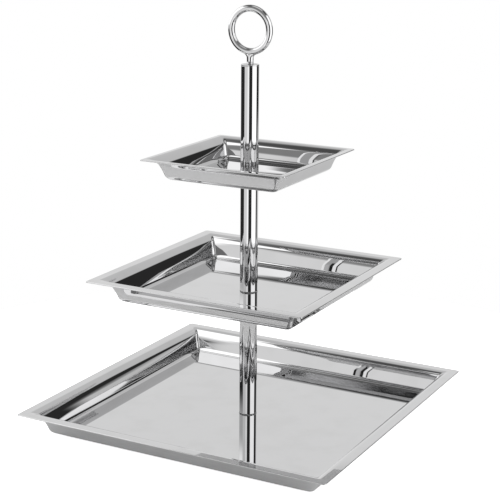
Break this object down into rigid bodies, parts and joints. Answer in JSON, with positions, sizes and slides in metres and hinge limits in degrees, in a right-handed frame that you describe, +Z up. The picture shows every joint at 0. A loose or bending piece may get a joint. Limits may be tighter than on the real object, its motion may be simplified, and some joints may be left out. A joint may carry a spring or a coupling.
{
  "type": "tiered serving stand",
  "caption": "Tiered serving stand: square mirror-polished trays of falling size on a screwed round post, with a ring handle on top.",
  "frame": {"origin": "on the table under the middle of the post, level with the undersides of the feet", "axes": "+Z up along the post, +X and +Y square to the tray edges, the ring handle in the XZ plane"},
  "size_m": [0.3, 0.3, 0.3775],
  "materials": {
    "polished_steel": "mirror polished",
    "plug_metal": "turned",
    "plated_steel": "zinc plated",
    "clear_plastic": "clear",
    "foot_rubber": "matt"
  },
  "bodies": {
    "base": {"lower_tray": "polished_steel", "base_screw": "plated_steel", "base_washer": "plated_steel", "rubber_feet": "foot_rubber"},
    "lower_post_seat": {"lower_post_washer": "clear_plastic"},
    "lower_post": {"lower_tube": "polished_steel", "lower_tube_foot_plug": "plug_metal", "lower_tube_top_plug": "plug_metal", "middle_tray_washer": "clear_plastic"},
    "middle_tray": {"middle_tray": "polished_steel"},
    "middle_post_seat": {"middle_post_washer": "clear_plastic"},
    "middle_post": {"middle_tube": "polished_steel", "middle_tube_foot_plug": "plug_metal", "middle_tube_top_plug": "plug_metal", "middle_stud": "plated_steel", "upper_tray_washer": "clear_plastic"},
    "upper_tray": {"upper_tray": "polished_steel"},
    "upper_post_seat": {"upper_post_washer": "clear_plastic"},
    "upper_post": {"upper_tube": "polished_steel", "upper_tube_foot_plug": "plug_metal", "upper_stud": "plated_steel", "upper_tube_cap": "polished_steel"},
    "handle_stud": {"handle_stud": "plated_steel"},
    "handle": {"ring_handle": "polished_steel"}
  },
  "joints": [
    {"name": "lower_post_turn", "type": "hinge", "parent": "base", "child": "lower_post_seat", "pos_m": [0, 0, 0], "axis": [0, 0, 1], "range_deg": [0, 2880]},
    {"name": "lower_post_rise", "type": "slide", "parent": "lower_post_seat", "child": "lower_post", "axis": [0, 0, 1], "range_m": [0, 0.008]},
    {"name": "middle_tray_swivel", "type": "hinge", "parent": "lower_post", "child": "middle_tray", "pos_m": [0, 0, 0], "axis": [0, 0, 1], "continuous": true},
    {"name": "middle_post_turn", "type": "hinge", "parent": "lower_post", "child": "middle_post_seat", "pos_m": [0, 0, 0], "axis": [0, 0, 1], "range_deg": [0, 2880]},
    {"name": "middle_post_rise", "type": "slide", "parent": "middle_post_seat", "child": "middle_post", "axis": [0, 0, 1], "range_m": [0, 0.008]},
    {"name": "upper_tray_swivel", "type": "hinge", "parent": "middle_post", "child": "upper_tray", "pos_m": [0, 0, 0], "axis": [0, 0, 1], "continuous": true},
    {"name": "upper_post_turn", "type": "hinge", "parent": "middle_post", "child": "upper_post_seat", "pos_m": [0, 0, 0], "axis": [0, 0, 1], "range_deg": [0, 2880]},
    {"name": "upper_post_rise", "type": "slide", "parent": "upper_post_seat", "child": "upper_post", "axis": [0, 0, 1], "range_m": [0, 0.008]},
    {"name": "handle_rise", "type": "slide", "parent": "upper_post", "child": "handle_stud", "axis": [0, 0, 1], "range_m": [0, 0.0084]},
    {"name": "handle_turn", "type": "hinge", "parent": "handle_stud", "child": "handle", "pos_m": [0, 0, 0], "axis": [0, 0, 1], "range_deg": [0, 4320]}
  ],
  "couplings": [
    {"joint": "lower_post_turn", "follows": "lower_post_rise", "rad_per_m": 6283.2},
    {"joint": "middle_post_turn", "follows": "middle_post_rise", "rad_per_m": 6283.2},
    {"joint": "upper_post_turn", "follows": "upper_post_rise", "rad_per_m": 6283.2},
    {"joint": "handle_turn", "follows": "handle_rise", "rad_per_m": 8976}
  ]
}
